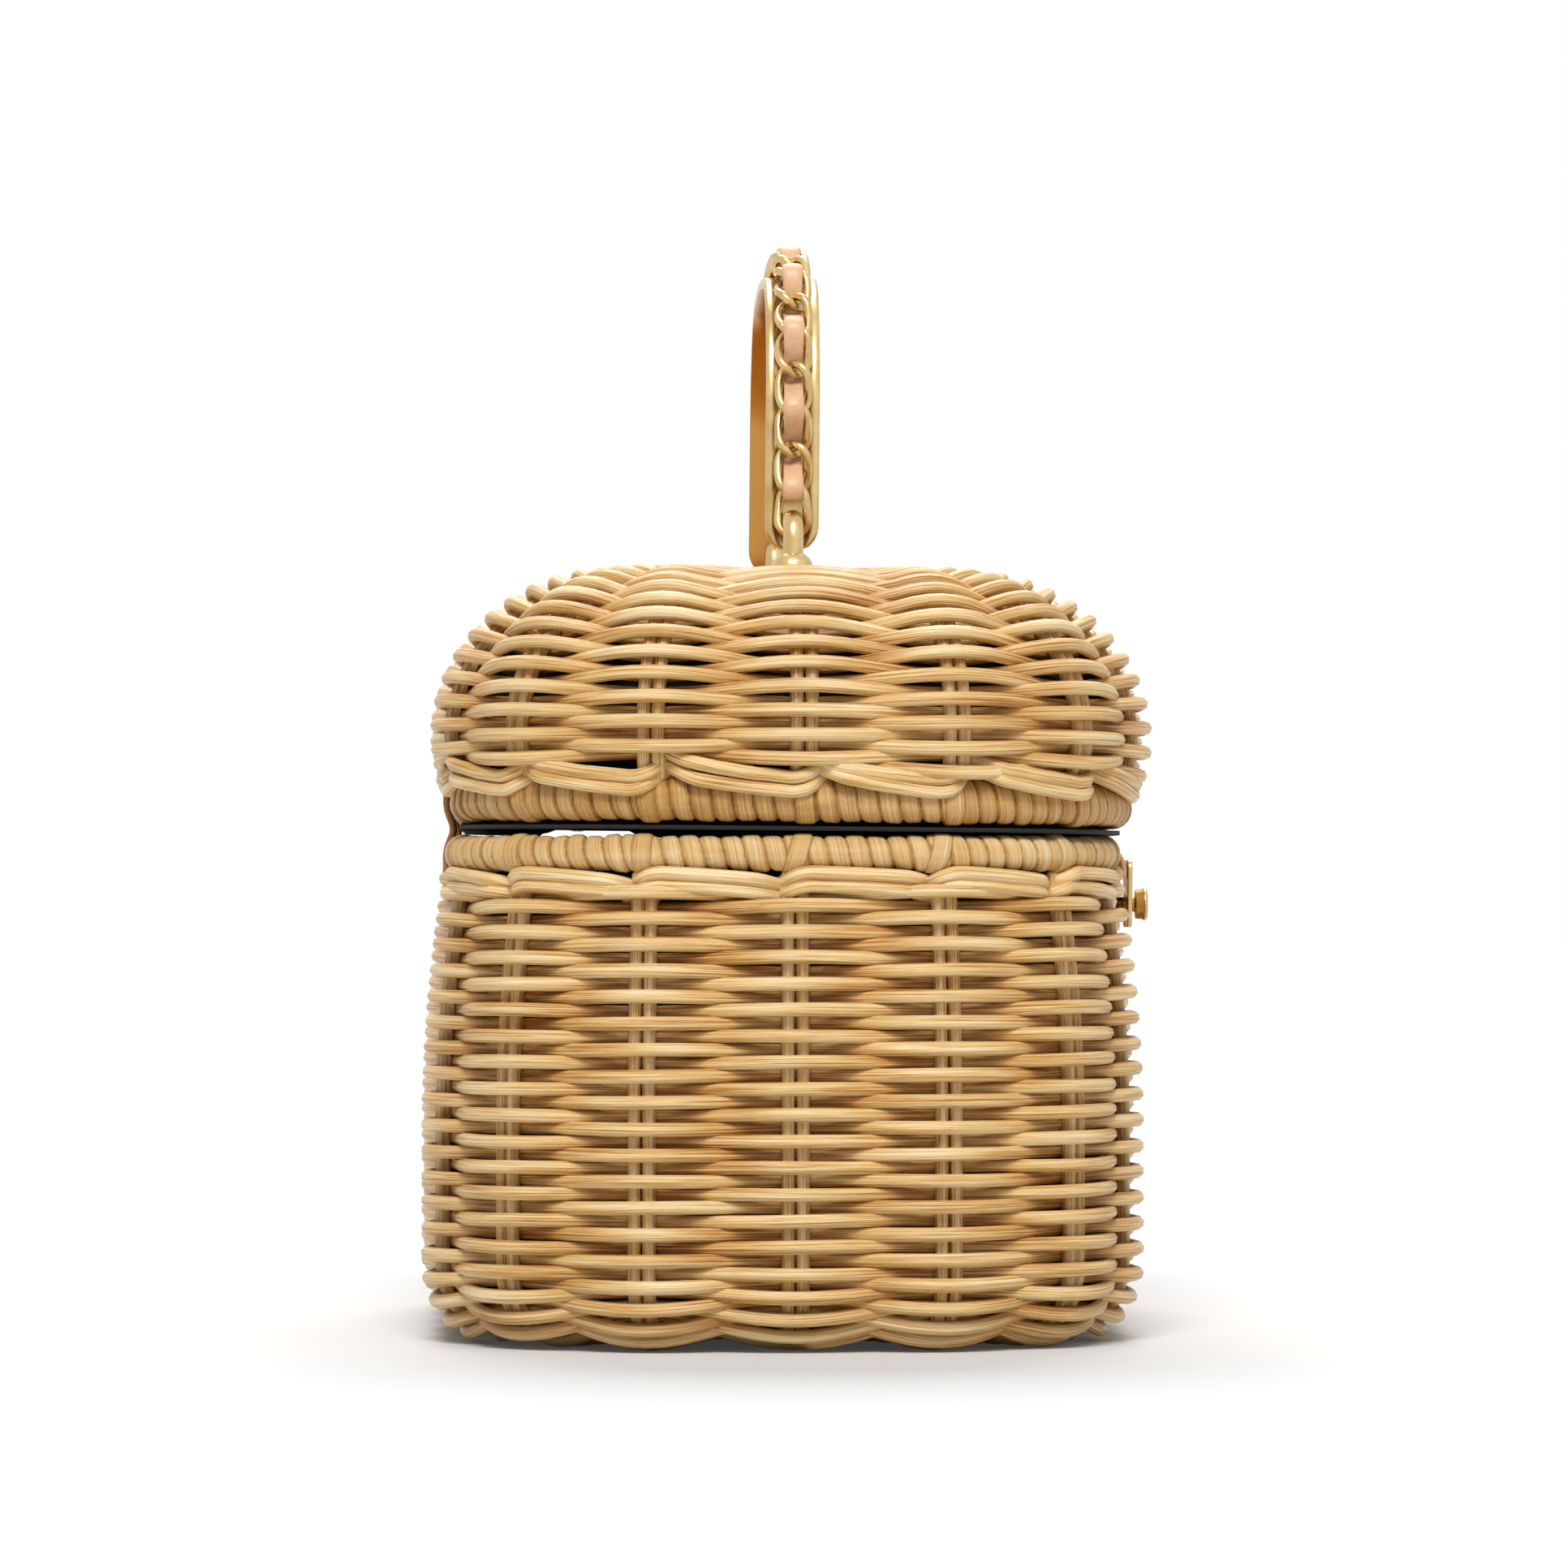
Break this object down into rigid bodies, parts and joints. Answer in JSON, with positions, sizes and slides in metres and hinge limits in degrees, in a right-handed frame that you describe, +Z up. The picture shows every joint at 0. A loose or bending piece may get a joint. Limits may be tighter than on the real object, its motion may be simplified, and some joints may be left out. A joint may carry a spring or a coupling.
{
  "type": "rattan vanity case",
  "caption": "Small woven rattan vanity case with a domed lid on leather strap hinges, a turning brass knob with a leather tab, and an arched brass handle dressed with chain and leather.",
  "frame": {"origin": "middle of the flat woven base, on the face that the case rests on", "axes": "+X along the length, +Y to the back where the lid is hinged, -Y to the front with the knob, +Z up"},
  "size_m": [0.22, 0.1456, 0.2155],
  "materials": {
    "rattan": "natural round core, satin",
    "cane": "flat cane wrap, satin",
    "brass": "satin, warm gold",
    "pale_leather": "matte, pinkish beige",
    "tan_leather": "matte tan",
    "lining": "dark plain cotton"
  },
  "bodies": {
    "case": {"side_weave": "rattan", "base_weave": "rattan", "body_stakes": "rattan", "body_rim": "cane", "body_lining": "lining", "hinge_strap_lower_1": "tan_leather", "hinge_strap_lower_2": "tan_leather", "hinge_rivet_lower_1": "brass", "hinge_rivet_lower_2": "brass", "clasp_base": "brass", "clasp_backplate": "brass"},
    "clasp_knob": {"clasp_knob": "brass"},
    "lid": {"lid_weave": "rattan", "lid_stakes": "rattan", "lid_rim": "cane", "lid_lining": "lining", "hinge_strap_upper_1": "tan_leather", "hinge_strap_upper_2": "tan_leather", "hinge_rivet_upper_1": "brass", "hinge_rivet_upper_2": "brass", "clasp_tab": "pale_leather", "clasp_fork": "brass", "handle_staple_1": "brass", "handle_staple_2": "brass", "staple_bell_1": "brass", "staple_bell_2": "brass", "staple_bell_3": "brass", "staple_bell_4": "brass", "staple_plate_1": "brass", "staple_plate_2": "brass"},
    "handle": {"handle_band": "brass", "leather_lace": "pale_leather", "chain_link_01": "brass", "chain_link_02": "brass", "chain_link_03": "brass", "chain_link_04": "brass", "chain_link_05": "brass", "chain_link_06": "brass", "chain_link_07": "brass", "chain_link_08": "brass", "chain_link_09": "brass", "chain_link_10": "brass", "chain_link_11": "brass", "chain_link_12": "brass", "chain_link_13": "brass", "chain_link_14": "brass", "chain_link_15": "brass", "chain_link_16": "brass", "chain_link_17": "brass", "chain_link_18": "brass", "chain_link_19": "brass", "chain_link_20": "brass", "chain_link_21": "brass", "chain_link_22": "brass", "chain_link_23": "brass", "chain_link_24": "brass", "chain_link_25": "brass", "chain_link_26": "brass"}
  },
  "joints": [
    {"name": "lid_hinge", "type": "hinge", "parent": "case", "child": "lid", "pos_m": [0, 0.066, 0.0986], "axis": [-1, 0, 0], "range_deg": [0, 100]},
    {"name": "handle_swing", "type": "hinge", "parent": "lid", "child": "handle", "pos_m": [0, -0.00202, 0.15831], "axis": [1, 0, 0], "range_deg": [-90, 90]},
    {"name": "knob_turn", "type": "hinge", "parent": "case", "child": "clasp_knob", "pos_m": [0, -0.07, 0.084], "axis": [0, -1, 0], "range_deg": [0, 90]}
  ]
}
